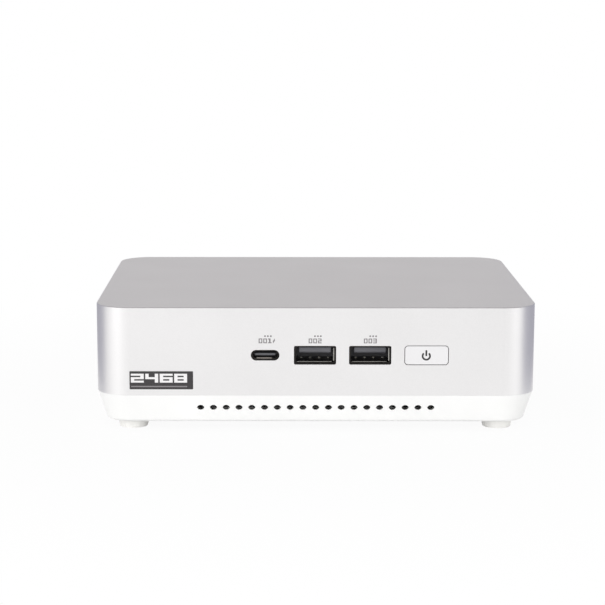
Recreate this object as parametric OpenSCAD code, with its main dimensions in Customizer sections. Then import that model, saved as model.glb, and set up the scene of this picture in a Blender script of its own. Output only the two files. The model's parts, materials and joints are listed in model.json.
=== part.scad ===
// Slim desktop computer: an aluminium shell over a tapered white base that opens from below.
// Millimetres. The feet stand on Z = 0, the front faces -Y and +X is to the right of the front.

/* [Case] */
// Width of the case
body_w = 144; // [129:1:164]
// Depth of the case
body_d = 112; // [100:1:130]
// Height of the case on its feet
body_h = 41.7; // [37.5:0.1:50]
// Radius of the vertical corners
corner_r = 10.8; // [8.8:0.1:12]
// Wall of the aluminium shell
shell_wall = 1.6; // [1.2:0.1:2]
// Radius along the shell's top edge
top_edge_r = 0.3; // [0.2:0.1:1.4]
// Width of the lock slot in the shell's side
lock_slot_w = 7; // [6:0.5:8]
// Height of the lock slot
lock_slot_h = 3; // [2.5:0.1:3.5]

/* [Base] */
// Height of the white base above the feet
base_h = 9.4; // [9.1:0.1:12]
// How far the base draws in between the seam and its bottom
base_taper = 2.95; // [1:0.05:3.5]
// Step between the shell's face and the base's at the seam
seam_step = 0.1; // [0:0.05:0.5]
// Wall of the base
base_wall = 2; // [1.6:0.1:2.2]
// Rounding of the base's bottom edge
base_edge_r = 1.2; // [0.4:0.1:1.6]
// Height of the lip that stands up inside the shell
lip_h = 3.1; // [2:0.1:4]
// Thickness of the lip
lip_t = 1.2; // [0.8:0.1:1.6]

/* [Vents] */
// Number of vents along the front
front_vents = 19; // [9:1:21]
// Distance between the vents
vent_pitch = 4.18; // [3.4:0.02:4.6]
// Width of a vent
vent_w = 2.4; // [1.2:0.1:2.6]
// Height of a vent
vent_h = 1.8; // [1:0.1:2]
// Height of the vents' middle above the base's bottom
vent_up = 5.1; // [5:0.1:5.6]
// Wall left between a vent's mouth and the thinned inside
vent_wall = 0.9; // [0.7:0.1:1.2]

/* [Bottom cover] */
// Thickness of the bottom cover
cover_t = 2; // [1.6:0.1:2.4]
// Width of the ledge that the cover lies against
ledge_w = 3; // [2:0.1:3.4]
// Distance between the two bracket screws
bracket_pitch = 88; // [84:1:92]
// Bore of the bracket inserts
bracket_bore = 2.5; // [2.4:0.05:3]
// Travel of the cover's latch
latch_travel = 4; // [2:0.5:4]
// Width of the latch
latch_w = 18; // [14:1:24]

/* [Feet] */
// Diameter of a foot
foot_dia = 10.2; // [8:0.1:11]
// Height of a foot
foot_h = 3.2; // [2:0.1:4]
// Distance from the case's side to a foot's middle
foot_inset = 11.65; // [11.4:0.05:14]

/* [Board] */
// Depth of the board's upper face below the case's top
board_drop = 18.8; // [18.6:0.1:20]
// Thickness of the board
board_t = 1.6; // [1.2:0.1:2]
// Gap between the board's edge and the shell at the sides
board_side_gap = 4.4; // [3:0.1:5]
// Gap between the board's edge and the shell at the front and back
board_end_gap = 2.4; // [2:0.1:3]

/* [Front ports] */
// Middle of the small oval port, from the case's middle
oval_port_x = -16.5; // [-22:0.1:-15]
// Middle of the left rectangular port
left_port_x = -0.3; // [-1:0.1:0.5]
// Distance between the two rectangular ports
port_pitch = 17.9; // [16:0.1:19]
// How far the ports stand back from the case's face
port_inset = 0.9; // [0.4:0.1:1.1]

/* [Power button] */
// Middle of the power button, from the case's middle
button_x = 35.9; // [35.5:0.1:42]
// Width of the button's opening
button_w = 14.4; // [10:0.1:16]
// Height of the button's opening
button_h = 6.5; // [5:0.1:6.8]
// Corner radius of the button's opening
button_r = 1.2; // [0.6:0.1:2]
// Travel of the button
button_travel = 0.5; // [0.3:0.05:0.8]

/* [Cooler] */
// Radius of the fan's impeller
impeller_r = 24; // [18:0.5:24.5]
// Number of impeller blades
blades = 29; // [15:2:37]
// Height of the fan's case
fan_h = 8; // [7:0.1:8.4]
// Distance between two cooling fins
fin_pitch = 1.3; // [1:0.05:2]
// Thickness of a fin
fin_t = 0.3; // [0.2:0.05:0.5]
// Width of a flattened heat pipe
pipe_w = 5.4; // [4.6:0.1:5.4]
// Thickness of a heat pipe
pipe_t = 2.6; // [2:0.1:2.8]

/* [Memory and cards] */
// Depth of the first memory module's middle below the board
memory_drop = 3.2; // [3:0.1:3.6]
// Distance between the two stacked modules
memory_pitch = 4.4; // [4.2:0.1:5]
// Depth of a plug-in card's upper face below the board
card_drop = 2.4; // [2.2:0.1:3]

/* [Fits] */
// Gap around a port or a button in its opening
port_fit = 0.25; // [0.15:0.05:0.35]
// Gap between pieces that slide or lift apart
slide_fit = 0.2; // [0.15:0.05:0.3]
// Radial gap between a shaft or a screw and its hole
shaft_fit = 0.05; // [0.03:0.01:0.1]

/* [Hidden] */
$fn = 72;

// Depth to which fused shapes run into each other
join = 0.3;

// Heights
base_z = foot_h;
seam_z = foot_h + base_h;
ceiling_z = body_h - shell_wall;
board_top = body_h - board_drop;
board_bottom = board_top - board_t;
inside_z = base_z + cover_t;
ledge_z = inside_z + slide_fit / 2;
ledge_t = 1.4;
ledge_top = ledge_z + ledge_t;

// Insets from the case's outer face
lip_out = shell_wall + slide_fit;
lip_in = lip_out + lip_t;
base_in = seam_step + base_taper + base_wall;
cover_inset = base_in + slide_fit;
ledge_in = base_in + ledge_w;
ledge_root = 0.4;

// Front and back planes, and the shell's inner faces
front_y = -body_d / 2;
back_y = body_d / 2;
inner_x = body_w / 2 - shell_wall;
inner_y = body_d / 2 - shell_wall;
ceiling_bevel = 1;

// Lock slot, above the lip in the shell's right side
lock_slot_in = 24;
lock_slot_r = 0.6;
lock_slot_z = seam_z + lip_h + lock_slot_h / 2 + 0.9;

// Vents that the sides have fewer of than the front, and how much larger the pocket behind a row is
side_vents_less = 8;
vent_pocket = 1;

// Screws: M2.5 in the case and on the board, with plain shanks
screw_r = 1.25;
screw_gap = 0.2;
screw_head_r = 2.4;
screw_head_h = 1.6;
screw_hex_r = 1.1;
screw_hex_h = 0.8;
screw_bite = 5;

// Board outline and the holes that its screws pass
board_w = 2 * (inner_x - board_side_gap);
board_d = 2 * (inner_y - board_end_gap);
board_hole_side = 5;
board_hole_front = 14;
board_hole_back = 12;
board_post_x = board_w / 2 - board_hole_side;
board_post_front = -board_d / 2 + board_hole_front;
board_post_back = board_d / 2 - board_hole_back;

// Posts in the shell's corners, and the base's bosses under them
post_r = 3;
post_flare = 1.5;
post_side = 7.6;
post_end = 9;
post_rise = 1.1;
post_x = body_w / 2 - post_side;
post_y = body_d / 2 - post_end;
post_z = seam_z + post_rise;
frame_boss_r = post_r + 0.5;
case_screw_z = ledge_z + screw_head_h + 0.3;
board_notch = 2 * [board_w / 2 - post_x + post_r + 1, board_d / 2 - post_y + post_r + 1];

// Rectangular port: a folded metal shell round a tongue near its roof
rect_w = 13.2;
rect_h = 5.7;
rect_r = 0.5;
rect_depth = 14;
rect_wall = 0.3;
rect_inner_r = rect_r - rect_wall / 2;
rect_lift = 0.25;
rect_tongue_w = 10.2;
rect_tongue_t = 1.85;
rect_tongue_up = 1.3;
rect_tongue_in = 1;
rect_tongue_lead = 0.45;
rect_back = 4;
contact_x = [-3.5, -1, 1, 3.5];
contact_w = 1;
contact_t = 0.24;
contact_in = 3;
port_z = board_top + rect_lift + rect_h / 2;

// Oval port
oval_w = 8.8;
oval_h = 3;
oval_wall = 0.3;
oval_depth = 8;
oval_tongue_w = 6.6;
oval_tongue_t = 0.7;
oval_tongue_in = 0.9;
oval_back = 3;
port_stand = 0.2;
rear_oval_z = board_top + port_stand + oval_h / 2;

// Rear panel in its window
panel_rim = 1;
window_side = corner_r + panel_rim + slide_fit;
window_w = body_w - 2 * window_side;
window_low = seam_z + lip_h + 1.8;
window_high = ceiling_z - ceiling_bevel - 1.4;
window_r = 2;
panel_t = 1.2;
panel_proud = shell_wall - 0.4;

// Power jack, at the panel's right end
dc_in = 7;
dc_x = window_w / 2 - dc_in;
dc_w = 9;
dc_h = 10.5;
dc_depth = 12;
dc_hole_r = 3.3;
dc_nose_r = 4.1;
dc_back = 0.5;
dc_pin_r = 1.2;
dc_pin_in = 1.2;

// Network jack, beside it
net_step = 14.5;
net_x = dc_x - net_step;
net_w = 16;
net_h = 13.4;
net_depth = 16;
net_mouth_w = 11.8;
net_mouth_h = 8;
net_mouth_z = 2.2;
net_mouth_depth = 13;
net_key_w = 6.2;
net_key_h = 2.4;
net_pitch = 1.02;
net_wire = 0.4;
net_wire_in = 4;

// Stack of two rectangular ports, at the panel's left end
rear_port_y = back_y - 1.2;
stack_in = 13.5;
stack_x = -window_w / 2 + stack_in;
stack_pitch = 7.6;

// Two video and two oval ports share the room between the jack and the stack
video_w = 15;
video_h = 5.6;
video_wall = 0.4;
video_depth = 11.5;
video_side = 1.8;
video_slope = 1.4;
video_tongue_w = 11;
video_tongue_t = 1.2;
video_tongue_up = 0.3;
video_tongue_in = 1.2;
video_back = 2.6;
video_z = board_top + port_stand + video_h / 2;
port_room = net_x - net_w / 2 - stack_x - rect_w / 2;
port_gap = (port_room - 2 * video_w - 2 * oval_w) / 5;
video_x = [for (i = [0, 1]) net_x - net_w / 2 - (i + 1) * port_gap - (i + 0.5) * video_w];
rear_oval_x = [for (i = [0, 1])
    video_x[1] - video_w / 2 - (i + 1) * port_gap - (i + 0.5) * oval_w];

// Blower fan
fan_y = 6;
fan_z = board_top + 6.6;
fan_wall = 1;
fan_gap = 1.5;
volute_step = 1.2;
volute_r = impeller_r + fan_gap;
plate_t = 0.5;
inlet_r = impeller_r * 0.66;
spider_r = 4;
hub_r = impeller_r / 2;
hub_wall = 1;
blade_t = 0.7;
blade_sweep = 30;
blade_arc_r = impeller_r * 0.8;
shaft_r = 1;
sleeve_r = 2.2;
sleeve_h = fan_h - 3;
sleeve_floor = 0.5;
shaft_foot = 0.7;
rotor_gap = 0.6;
rotor_z = fan_z + plate_t + rotor_gap;
rotor_h = fan_h - 2 * plate_t - 2 * rotor_gap;
stator_r = hub_r - hub_wall - 1;
stator_core = 1.2;
stator_poles = 9;
pole_w = 1.4;
pole_tip = 1;

// Heat pipes: they pass the network jack, bend and run under the fins
pipe_z = board_top + 6.2;
pipe_gap = 0.4;
pipe_clear = 1.2;
bend_r = 6;
bend_x = net_x - net_w / 2 - pipe_clear - bend_r - 1.5 * pipe_w - pipe_gap;

// Fin stack, from the port stack to the heat pipes' bend
fin_depth = 11;
fin_rail = 0.4;
fin_gap = 2.4;
fin_front = inner_y - panel_t - 1 - fin_depth;
fin_left = stack_x + rect_w / 2 + fin_gap;
fin_right = bend_x - fan_wall - slide_fit / 2;
fin_z = pipe_z + pipe_t;
fin_h = fan_z + fan_h - fin_z;
fan_x = fin_right - 3.5 * volute_step - volute_r;
bend_y = fin_front + pipe_w / 2 + slide_fit / 2 - bend_r;

// Exhaust slots in the rear panel, behind the fins
grille_low = board_top + 8.2;
grille_high = window_high - 1.2;
grille_left = fin_left + 0.5;
grille_right = net_x - net_w / 2 - 3.5;
slat_pitch = 3.2;
slat_gap = 2.2;

// Processor under the heat pipes: each die is [x, y, width, depth] on its package
die_h = 0.7;
dies = [[0, -6, 10, 20], [0, 12, 8, 9]];
package_t = 1.2;
package_w = 25;
package_d = 50;
cpu_x = bend_x + bend_r + (pipe_w + pipe_gap) / 2;
cpu_y = -6;

// Cold plate, with an ear for each screw
plate_w = 36;
plate_d = 34;
plate_z = board_top + package_t + die_h;
pipe_foot_y = cpu_y - 12;
cooler_screw_x = plate_w / 2 - 3;
cooler_screw_y = plate_d / 2 + 3;
ear_t = 1.6;
ear_r = 3.4;

// Coils, capacitors and coin cell on the board
coils = 5;
coil_w = 6.4;
coil_h = 3;
coil_r = 0.6;
coil_pitch = 8;
coil_x = cpu_x + package_w / 2 + 9.5;
coil_y = cpu_y - 18;
capacitors = 7;
capacitor_dia = 4;
capacitor_h = 4.5;
capacitor_pitch = 6;
capacitor_x = coil_x + 6.5;
capacitor_y = cpu_y - 20;
cell_dia = 20;
cell_h = 3.2;
cell_x = -board_w / 2 + 14;
cell_y = 6;

// Bottom cover's inside
intake_columns = 17;
intake_rows = 9;
intake_y = 3;
rib_h = 1.6;
rib_t = 1.4;
boss_r = 4;
boss_h = 5.4;
insert_r = 2.3;
insert_l = 4.5;
insert_sink = 0.2;

// Latch: a slide with a tongue that goes over the ledge and a nub that a finger moves
latch_l = 10.4;
latch_tip = back_y - ledge_in - 0.4;
latch_back = latch_tip - latch_travel;
latch_front = latch_back - latch_l;
latch_z = inside_z + slide_fit / 4;
tongue_w = 10;
tongue_t = 1.2;
tongue_z = ledge_top + slide_fit;
nub_w = 12;
nub_l = 6;
nub_y = latch_front + 2.4;
nub_z = base_z + 0.3;
keeper_t = 1.5;

// Memory modules lie under the board, in front of the latch, one a step behind the other
module_w = 69.6;
module_d = 30;
module_t = 1.2;
module_grip = 3.6;
module_notch_x = 31.3;
module_notch_w = 1.5;
module_notch_d = 3;
chip_t = 1;
chip_w = 12;
chip_d = 11;
chip_pitch = 16.5;
chip_in = 8;
socket_w = 73;
socket_d = 6;
socket_slot_d = 4;
socket_floor = 1.6;
arm_l = 22;
arm_t = 1.2;
arm_h = 2.4;
arm_up = 0.4;
memory_step = 6.4;
memory_in = 10.5;
memory_x = -board_w / 2 + memory_in + socket_w / 2;
memory_y = latch_front - 0.3 - socket_d - memory_step;
memory_edge = [memory_y, memory_y + memory_step];
memory_z = [board_bottom - memory_drop, board_bottom - memory_drop - memory_pitch];

// Plug-in cards under the board: a drive, a radio and a spare place
card_t = 0.8;
card_w = 22;
card_z = board_bottom - card_drop - card_t;
card_grip = 1.8;
card_hole_r = 1.8;
card_screw_r = 1.3;
card_screw_head_h = 0.8;
card_margin = 3;
card_socket_d = 5;
card_socket_h = 4;
card_socket_in = 1.5;
drive_l = 80;
drive_chips = [[-20, 12], [-40, 14], [-62, 14]];
drive_x = board_w / 2 - 12;
drive_y = -board_d / 2 + 22;
radio_l = 30;
radio_chips = [[-20, 12]];
radio_x = board_w / 2 - card_w / 2 - 2.5;
radio_y = board_post_back - 9;
spare_x = radio_x - card_w - 1;
spare_y = board_post_back - 5.5;

// Thermal pad and plate between the drive and the bottom cover
pad_t = 1;
pad_gap = 0.05;
pad_l = 54;
pad_w = 16;
heat_plate_t = 1.2;
heat_plate_l = 58;
heat_plate_w = 18;
heat_plate_x = drive_x - 42;
heat_plate_top = card_z - chip_t - pad_gap - pad_t;

// Feet
foot_x = body_w / 2 - foot_inset;
foot_y = body_d / 2 - foot_inset;
foot_stem_r = foot_dia / 2 - 1.2;
foot_stem_h = 1;
foot_bevel = 0.5;
foot_lean = 0.3;
foot_sole = 0.7;

// Power button and its switch
button_flange = 0.9;
button_rim = 1;
guide_wall = 1;
switch_w = 6;
switch_h = 3.4;
switch_d = 3.4;
switch_y = -board_d / 2 + 1.2;
plunger_r = 0.8;
plunger_out = 0.6;
plunger_in = 0.8;
plunger_z = board_top + switch_h / 2;
button_back = -inner_y + button_flange;

// Aerials stand on the ledge, just inside the white base's sides
aerial_w = 20;
aerial_h = 6;
aerial_t = 0.8;
aerial_x = body_w / 2 - base_in - 1;
aerial_y = back_y - 33.5;

// Aerial cables: [x, y, depth below the board] from the radio card towards each side, then the
// point [x, y, height above the ledge] where each turns to its aerial
cable_r = 0.55;
cable_touch = 0.02;
cable_right = [[58, 5, 4.6], [60, 2, 5], [62, 6, 6.4]];
cable_left = [[48, 5, 4.6], [46, -3, 5.4], [40, -12, 6], [20, -13, 6.2], [0, -13, 6.2],
    [-20, -13, 6.2], [-40, -12, 6.2], [-56, -9, 6.4], [-61, 2, 7.4]];
cable_turn = [63, 13, 4.9];

// ---- Shared shapes ----

// Rectangle with round corners, centred
module rounded(w, d, r) {
    square([w - 2 * r, d], center = true);
    square([w, d - 2 * r], center = true);
    for (x = [-1, 1], y = [-1, 1])
        translate([x * (w / 2 - r), y * (d / 2 - r)]) circle(r);
}

// Flat oval, centred
module oval(w, h) {
    square([w - h, h], center = true);
    for (x = [-1, 1]) translate([x * (w - h) / 2, 0]) circle(h / 2);
}

// Pointed vent, where two round arcs cross
module lens(w, h) {
    r = (w * w + h * h) / (4 * h);
    intersection() {
        translate([0, r - h / 2]) circle(r);
        translate([0, h / 2 - r]) circle(r);
    }
}

// Sweeps a wall section round a rounded rectangle. X = 0 in the section is the outer face.
module around(w, d, r) {
    for (i = [0:3]) rotate([0, 0, 90 * i]) {
        long = i % 2 == 0 ? w : d;
        wide = i % 2 == 0 ? d : w;
        translate([long / 2 - r, wide / 2 - r, 0])
            rotate_extrude(angle = 90) translate([r, 0]) children();
        translate([-(long / 2 - r), wide / 2 - r, 0])
            rotate([90, 0, 90]) linear_extrude(long - 2 * r) translate([r, 0]) children();
    }
}

// Extrudes an upright outline from the plane y towards +Y
module through(y, l) translate([0, y + l, 0]) rotate([90, 0, 0]) linear_extrude(l) children();

// Puts children at the four corners of a rectangle
module corners(x, y) for (sx = [-1, 1], sy = [-1, 1]) translate([sx * x, sy * y, 0]) children();

// Screw with its head below and its shank upwards from z
module screw(z, l) {
    translate([0, 0, z - screw_head_h]) difference() {
        cylinder(r = screw_head_r, h = screw_head_h);
        translate([0, 0, -1]) cylinder(r = screw_hex_r, h = 1 + screw_hex_h, $fn = 6);
    }
    translate([0, 0, z - join]) cylinder(r = screw_r, h = l + join);
}

// ---- Case ----

module shell_section() {
    polygon([[-corner_r, ceiling_z], [-shell_wall - ceiling_bevel, ceiling_z],
        [-shell_wall, ceiling_z - ceiling_bevel],
        [-shell_wall, seam_z], [0, seam_z], [0, body_h - top_edge_r],
        [-top_edge_r, body_h], [-corner_r, body_h]]);
    translate([-top_edge_r, body_h - top_edge_r]) circle(top_edge_r);
}

// Post that hangs from the ceiling down to z, with a blind screw bore
module post(z) {
    difference() {
        union() {
            translate([0, 0, z]) cylinder(r = post_r, h = ceiling_z - z + join);
            translate([0, 0, ceiling_z - post_flare])
                cylinder(r1 = post_r, r2 = post_r + post_flare + join, h = post_flare + join);
        }
        translate([0, 0, z - 1]) cylinder(r = screw_r + shaft_fit, h = screw_bite + 2);
    }
}

module board_posts() for (x = [-board_post_x, board_post_x], y = [board_post_front, board_post_back])
    translate([x, y, 0]) children();

module front_openings() {
    w = rect_w + 2 * port_fit;
    h = rect_h + 2 * port_fit;
    translate([oval_port_x, port_z]) oval(oval_w + 2 * port_fit, oval_h + 2 * port_fit);
    for (x = [left_port_x, left_port_x + port_pitch]) translate([x, port_z]) rounded(w, h, rect_r);
    translate([button_x, port_z]) rounded(button_w, button_h, button_r);
}

module top_cover() color("silver") {
    difference() {
        union() {
            around(body_w, body_d, corner_r) shell_section();
            translate([0, 0, ceiling_z]) linear_extrude(shell_wall)
                square([body_w - 2 * corner_r + join, body_d - 2 * corner_r + join], center = true);
        }
        through(front_y - 1, shell_wall + 2) front_openings();
        through(inner_y - 1, shell_wall + 2)
            translate([0, (window_low + window_high) / 2])
                rounded(window_w, window_high - window_low, window_r);
        translate([inner_x - 1, 0, lock_slot_z]) rotate([90, 0, 90])
            linear_extrude(shell_wall + 2) translate([back_y - lock_slot_in, 0])
                rounded(lock_slot_w, lock_slot_h, lock_slot_r);
    }
    corners(post_x, post_y) post(post_z);
    board_posts() post(board_top);
}

// Wall of the base: a drawn-in skirt with a round bottom edge, and a lip inside the shell
module base_section() {
    lean = atan(base_taper / base_h);
    foot = [-seam_step - base_taper, base_z];
    rise = base_edge_r * (1 - sin(lean)) / cos(lean);
    touch = foot + rise * [sin(lean), cos(lean)];
    centre = touch + base_edge_r * [-cos(lean), sin(lean)];
    polygon([[-seam_step, seam_z], touch, [centre[0], base_z], [-base_in, base_z],
        [-lip_in, seam_z - 1], [-lip_in, seam_z + lip_h], [-lip_out, seam_z + lip_h],
        [-lip_out, seam_z]]);
    translate(centre) circle(base_edge_r);
    translate([-ledge_in, ledge_z]) square([ledge_in - lip_in - ledge_root, ledge_t]);
}

// One row of vents, centred, running along X
module vent_row(count) for (i = [0:count - 1])
    translate([(i - (count - 1) / 2) * vent_pitch, base_z + vent_up]) lens(vent_w, vent_h);

// Vents through a side at that distance from the middle, with a pocket that thins the wall inside
module vent_side(half, count) {
    skin = seam_step + base_taper * (1 - vent_up / base_h) + vent_wall;
    through(-half - 1, base_in + 1) vent_row(count);
    through(-half + skin, base_in + 1 - skin) translate([0, base_z + vent_up])
        rounded((count - 1) * vent_pitch + vent_w + vent_pocket, vent_h + vent_pocket, vent_pocket);
}

module base_frame() color("white") difference() {
    union() {
        around(body_w, body_d, corner_r) base_section();
        corners(post_x, post_y) translate([0, 0, ledge_z])
            cylinder(r = frame_boss_r, h = post_z - ledge_z);
    }
    for (side = [0, 180]) rotate([0, 0, side]) vent_side(body_d / 2, front_vents);
    for (side = [90, -90]) rotate([0, 0, side]) vent_side(body_w / 2, front_vents - side_vents_less);
    corners(post_x, post_y) {
        translate([0, 0, ledge_z - 1]) cylinder(r = screw_r + screw_gap, h = post_z - ledge_z + 2);
        translate([0, 0, ledge_z - 1])
            cylinder(r = screw_head_r + screw_gap, h = case_screw_z - ledge_z + 1);
    }
}

module base_screws() color("dimgray") corners(post_x, post_y)
    screw(case_screw_z, post_z - case_screw_z + screw_bite);

// ---- Rear panel ----

module exhaust() {
    count = floor((grille_right - grille_left - slat_gap) / slat_pitch);
    for (i = [0:count]) translate([grille_left + slat_gap / 2 + i * slat_pitch,
        (grille_low + grille_high) / 2])
        rounded(slat_gap, grille_high - grille_low, slat_gap / 2 - 0.01);
}

module video_outline(grow) {
    w = video_w + 2 * grow;
    h = video_h + 2 * grow;
    polygon([[-w / 2, h / 2], [-w / 2, video_side - h / 2], [video_slope - w / 2, -h / 2],
        [w / 2 - video_slope, -h / 2], [w / 2, video_side - h / 2], [w / 2, h / 2]]);
}

module rear_openings() {
    for (x = video_x) translate([x, video_z]) video_outline(port_fit);
    for (x = rear_oval_x) translate([x, rear_oval_z])
        oval(oval_w + 2 * port_fit, oval_h + 2 * port_fit);
    translate([stack_x, port_z + stack_pitch / 2])
        rounded(rect_w + 2 * port_fit, rect_h + stack_pitch + 2 * port_fit, rect_r);
    translate([net_x, board_top + net_h / 2])
        square([net_w + 2 * port_fit, net_h + 2 * port_fit], center = true);
    translate([dc_x, board_top + dc_h / 2]) circle(dc_nose_r + port_fit);
    exhaust();
}

module rear_panel() color("dimgray") difference() {
    union() {
        mid = (window_low + window_high) / 2;
        high = window_high - window_low;
        through(inner_y, panel_proud) translate([0, mid])
            rounded(window_w - 2 * slide_fit, high - 2 * slide_fit, window_r - slide_fit);
        through(inner_y - panel_t, panel_t) translate([0, mid])
            square([window_w + 2 * panel_rim, high + 2 * panel_rim], center = true);
    }
    through(inner_y - panel_t - 1, panel_t + shell_wall + 2) rear_openings();
}

// ---- Bottom cover ----

module cover_plan() rounded(body_w - 2 * cover_inset, body_d - 2 * cover_inset,
    corner_r - cover_inset);

// Rows of vents between the bracket bosses
module intake() for (i = [0:intake_columns - 1], j = [0:intake_rows - 1])
    translate([(i - (intake_columns - 1) / 2) * vent_pitch,
        (j - (intake_rows - 1) / 2) * vent_pitch + intake_y]) lens(vent_w, vent_h);

module bracket_places() for (side = [-1, 1]) translate([side * bracket_pitch / 2, 0, 0]) children();

module bottom_cover() color("white") {
    difference() {
        union() {
            translate([0, 0, base_z]) linear_extrude(cover_t) difference() {
                cover_plan();
                intake();
                translate([0, nub_y + (nub_l + latch_travel) / 2])
                    square([nub_w + 2 * slide_fit, nub_l + latch_travel + 2 * slide_fit], center = true);
            }
            translate([0, 0, inside_z]) {
                cover_ribs();
                bracket_places() cylinder(r = boss_r, h = boss_h - cover_t);
            }
        }
        bracket_places() translate([0, 0, base_z - 1])
            cylinder(r = insert_r, h = insert_l + insert_sink + 1);
        corners(foot_x, foot_y) translate([0, 0, base_z - 1])
            cylinder(r = foot_stem_r, h = foot_stem_h + 1);
    }
    latch_keepers();
}

// Stiffening frame that just clears the ledge
module cover_ribs() {
    w = body_w - 2 * ledge_in - 4 * slide_fit;
    d = body_d - 2 * ledge_in - 4 * slide_fit;
    linear_extrude(rib_h) difference() {
        square([w, d], center = true);
        square([w - 2 * rib_t, d - 2 * rib_t], center = true);
        translate([0, d / 2]) square([latch_w + 2 * keeper_t + 1, 6], center = true);
        corners(post_x, post_y) circle(frame_boss_r + slide_fit);
    }
}

// Two hooked rails that hold the latch down on the cover
module latch_keepers() {
    foot = latch_w / 2 + slide_fit;
    hook = latch_w / 2 - keeper_t;
    top = tongue_z + tongue_t + slide_fit - inside_z;
    for (side = [0, 1]) mirror([side, 0, 0])
        through(latch_front, latch_l) translate([0, inside_z])
            polygon([[foot, 0], [foot + keeper_t, 0], [foot + keeper_t, top + keeper_t / 2],
                [hook, top + keeper_t / 2], [hook, top], [foot, top]]);
}

module cover_latch() color("gainsboro") {
    top = tongue_z + tongue_t;
    translate([-latch_w / 2, latch_front, latch_z]) cube([latch_w, latch_l, top - latch_z]);
    translate([-tongue_w / 2, latch_back - join, tongue_z]) cube([tongue_w, latch_travel + join, tongue_t]);
    translate([-nub_w / 2, nub_y, nub_z]) cube([nub_w, nub_l, latch_z - nub_z + join]);
}

module bracket_inserts() color("goldenrod")
    bracket_places() translate([0, 0, base_z + insert_sink]) difference() {
        cylinder(r = insert_r, h = insert_l);
        translate([0, 0, -1]) cylinder(d = bracket_bore, h = insert_l + 2);
    }

module ssd_heat_plate() color("lightgray") translate([heat_plate_x, drive_y, 0]) {
    translate([-heat_plate_l / 2, -heat_plate_w / 2, heat_plate_top - heat_plate_t])
        cube([heat_plate_l, heat_plate_w, heat_plate_t]);
    for (x = [-heat_plate_l / 2, heat_plate_l / 2 - heat_plate_t])
        translate([x, -heat_plate_w / 2, inside_z])
            cube([heat_plate_t, heat_plate_w, heat_plate_top - inside_z]);
}

module ssd_thermal_pad() color("lightblue") translate([heat_plate_x, drive_y, heat_plate_top])
    linear_extrude(pad_t) square([pad_l, pad_w], center = true);

module foot(x, y) color("whitesmoke") translate([x * foot_x, y * foot_y, 0]) rotate_extrude() {
    r = foot_dia / 2;
    polygon([[0, 0], [r - foot_bevel, 0], [r - foot_lean, foot_sole], [r, foot_h], [foot_stem_r, foot_h],
        [foot_stem_r, foot_h + foot_stem_h], [0, foot_h + foot_stem_h]]);
}

// ---- Board and power button ----

module motherboard() color("darkgreen") translate([0, 0, board_bottom]) linear_extrude(board_t)
    difference() {
        square([board_w, board_d], center = true);
        corners(board_w / 2, board_d / 2) square(board_notch, center = true);
        board_posts() circle(screw_r + screw_gap);
        cooler_screw_points() circle(screw_r);
    }

module board_screws() color("silver") board_posts()
    screw(board_bottom, board_t + screw_bite);

module power_button() color("whitesmoke") {
    through(front_y, shell_wall) translate([button_x, port_z])
        rounded(button_w - 2 * port_fit, button_h - 2 * port_fit, button_r - port_fit);
    through(-inner_y, button_flange) translate([button_x, port_z])
        square([button_w + 2 * button_rim, button_h + 2 * button_rim], center = true);
    through(button_back - join, switch_y - plunger_out - button_back + join)
        translate([button_x, plunger_z]) circle(plunger_r);
}

module switch_plunger() color("black")
    through(switch_y - plunger_out, plunger_out + plunger_in)
        translate([button_x, plunger_z]) circle(plunger_r);

// Frame behind the button that keeps it square in its opening
module button_guide() color("dimgray") {
    w = button_w + 2 * button_rim + 2 * slide_fit;
    h = button_h + 2 * button_rim + 2 * slide_fit;
    difference() {
        through(-inner_y, button_flange + button_travel) translate([button_x, port_z])
            square([w + 2 * guide_wall, h + 2 * guide_wall], center = true);
        through(-inner_y - 1, button_flange + button_travel + 2) translate([button_x, port_z]) square([w, h], center = true);
    }
}

module power_switch() color("silver") difference() {
    translate([button_x - switch_w / 2, switch_y, board_top]) cube([switch_w, switch_d, switch_h]);
    through(switch_y - 1, 1 + plunger_in + button_travel + 0.7)
        translate([button_x, plunger_z]) circle(plunger_r + shaft_fit);
}

// ---- Front ports ----

// Folded shell, open at the front, on the board's upper face
module rect_shell(h) difference() {
    through(0, rect_depth) rounded(rect_w, h, rect_r);
    through(-1, rect_depth) rounded(rect_w - 2 * rect_wall, h - 2 * rect_wall, rect_inner_r);
}

// Tongue with a bevelled lower lip, on a block that fills the back of a rectangular port
module rect_tongue() {
    low = rect_tongue_up - rect_tongue_t / 2;
    back = rect_depth - rect_back + join;
    translate([-rect_tongue_w / 2, 0, 0]) rotate([90, 0, 90]) linear_extrude(rect_tongue_w)
        polygon([[rect_tongue_in, low + rect_tongue_lead], [rect_tongue_in + rect_tongue_lead, low],
            [back, low], [back, low + rect_tongue_t], [rect_tongue_in, low + rect_tongue_t]]);
    through(rect_depth - rect_back, rect_back - 1)
        rounded(rect_w - 2 * rect_wall, rect_h - 2 * rect_wall, rect_inner_r);
}

module rect_contacts() for (x = contact_x) through(contact_in, rect_depth - rect_back - contact_in)
    translate([x, rect_tongue_up - (rect_tongue_t + contact_t) / 2])
        square([contact_w, contact_t], center = true);

module oval_shell() difference() {
    through(0, oval_depth) oval(oval_w, oval_h);
    through(-1, oval_depth) oval(oval_w - 2 * oval_wall, oval_h - 2 * oval_wall);
}

module oval_tongue() {
    through(oval_tongue_in, oval_depth - oval_back)
        square([oval_tongue_w, oval_tongue_t], center = true);
    through(oval_depth - oval_back, oval_back - 1) oval(oval_w - 2 * oval_wall, oval_h - 2 * oval_wall);
}

module at_left_port() translate([left_port_x, front_y + port_inset, port_z]) children();
module at_right_port() translate([port_pitch, 0, 0]) at_left_port() children();
module at_oval_port() translate([oval_port_x, front_y + port_inset, port_z]) children();

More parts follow.
